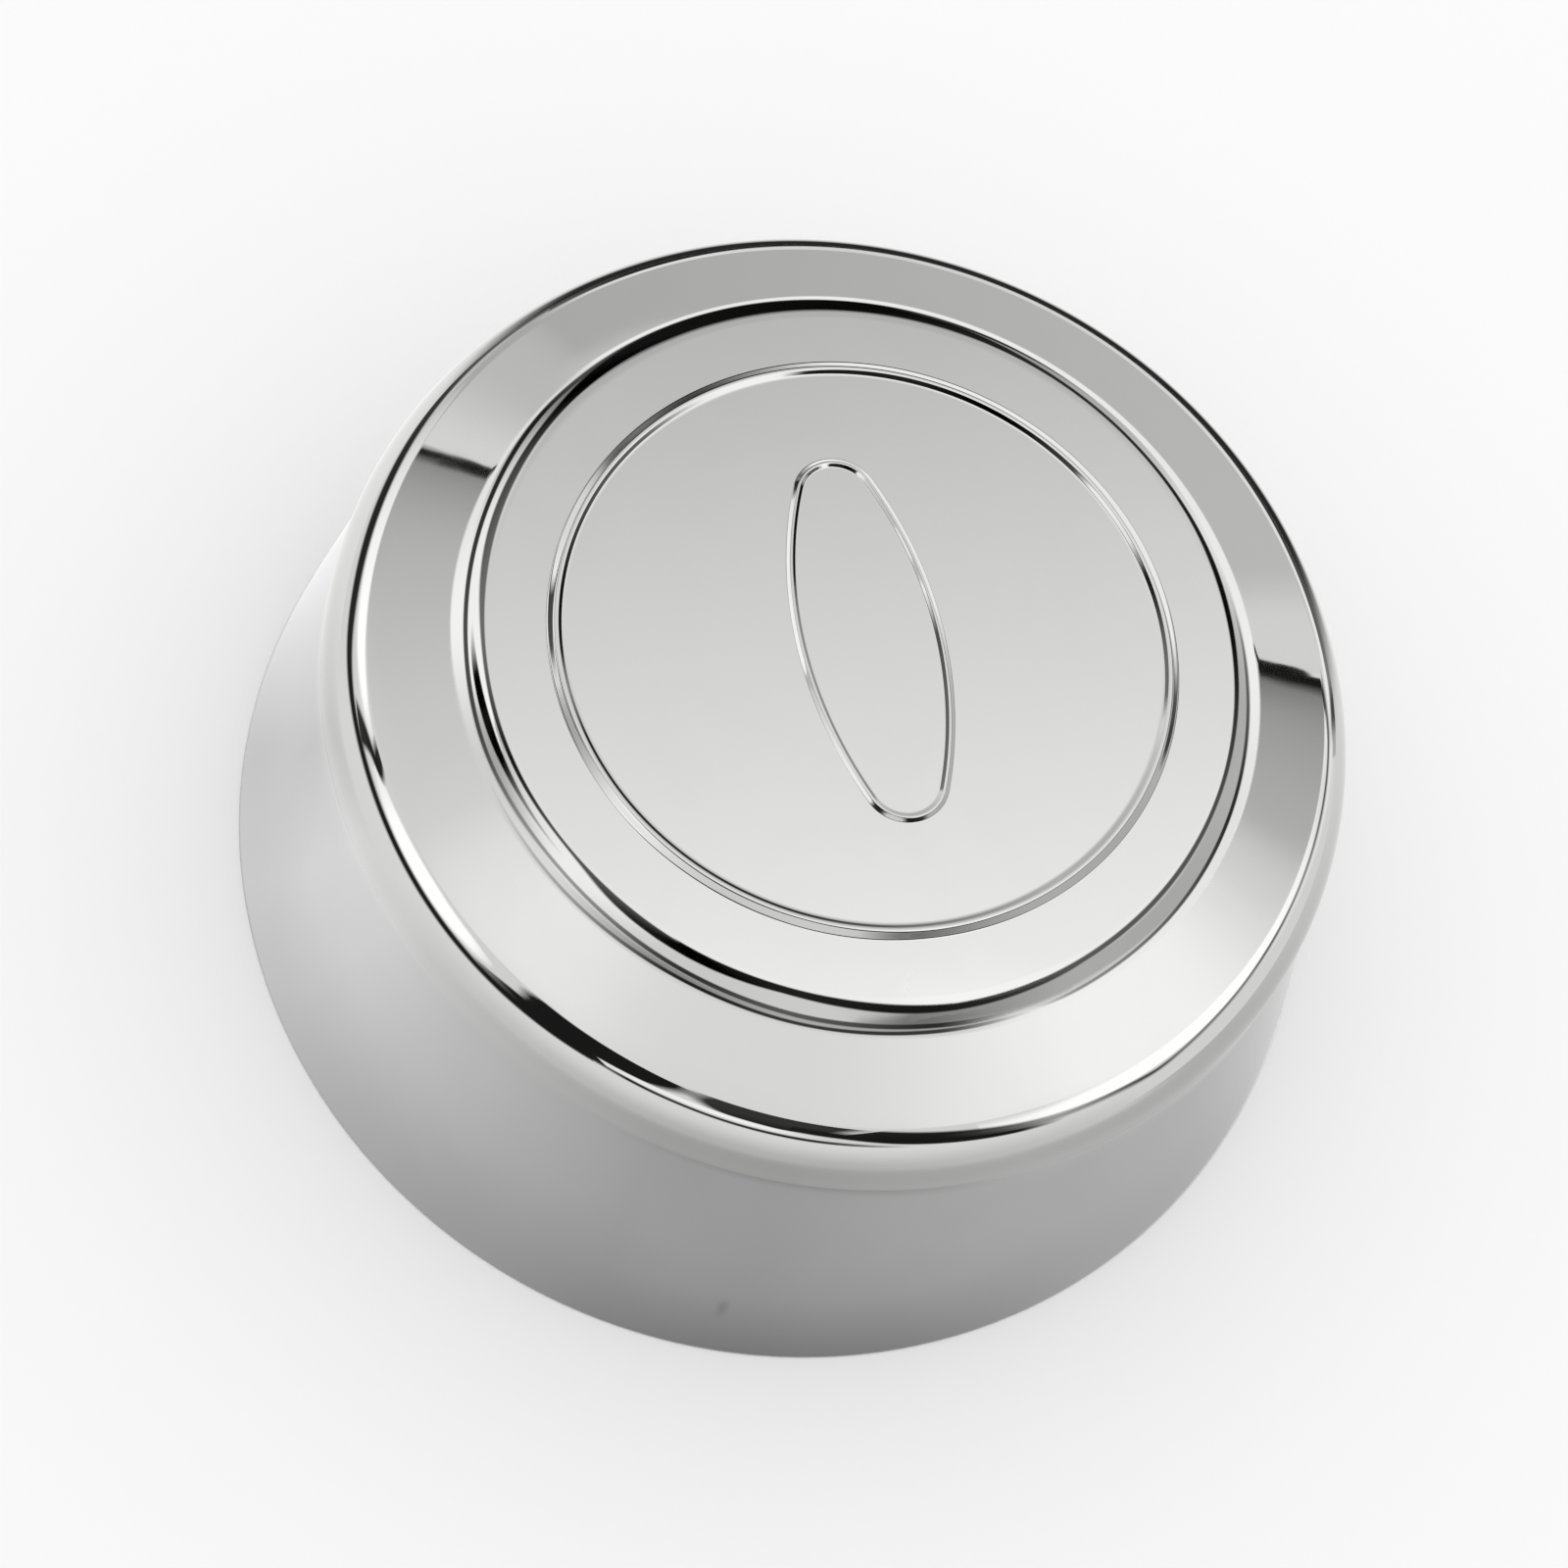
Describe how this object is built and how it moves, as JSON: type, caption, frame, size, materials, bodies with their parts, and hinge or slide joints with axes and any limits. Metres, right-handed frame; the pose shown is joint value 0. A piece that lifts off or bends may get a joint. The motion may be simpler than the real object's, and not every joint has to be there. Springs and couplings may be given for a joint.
{
  "type": "axle hub cover",
  "caption": "Round chrome-plated axle hub cover: a deep drawn cap with a raised flat face, a ring bead, an oval bead, a sloping shoulder and a flared open skirt.",
  "frame": {"origin": "Centre of the open rim, on the plane that the rim stands on.", "axes": "+Z along the cover's axis towards the raised face, +X along the long axis of the oval bead."},
  "size_m": [0.216, 0.216, 0.0796],
  "materials": {
    "chrome": "Bright chrome plate on drawn steel sheet, mirror-polished outside, with faint polishing waves and wipe marks."
  },
  "bodies": {
    "root": {"hub_cover": "chrome"}
  },
  "joints": []
}
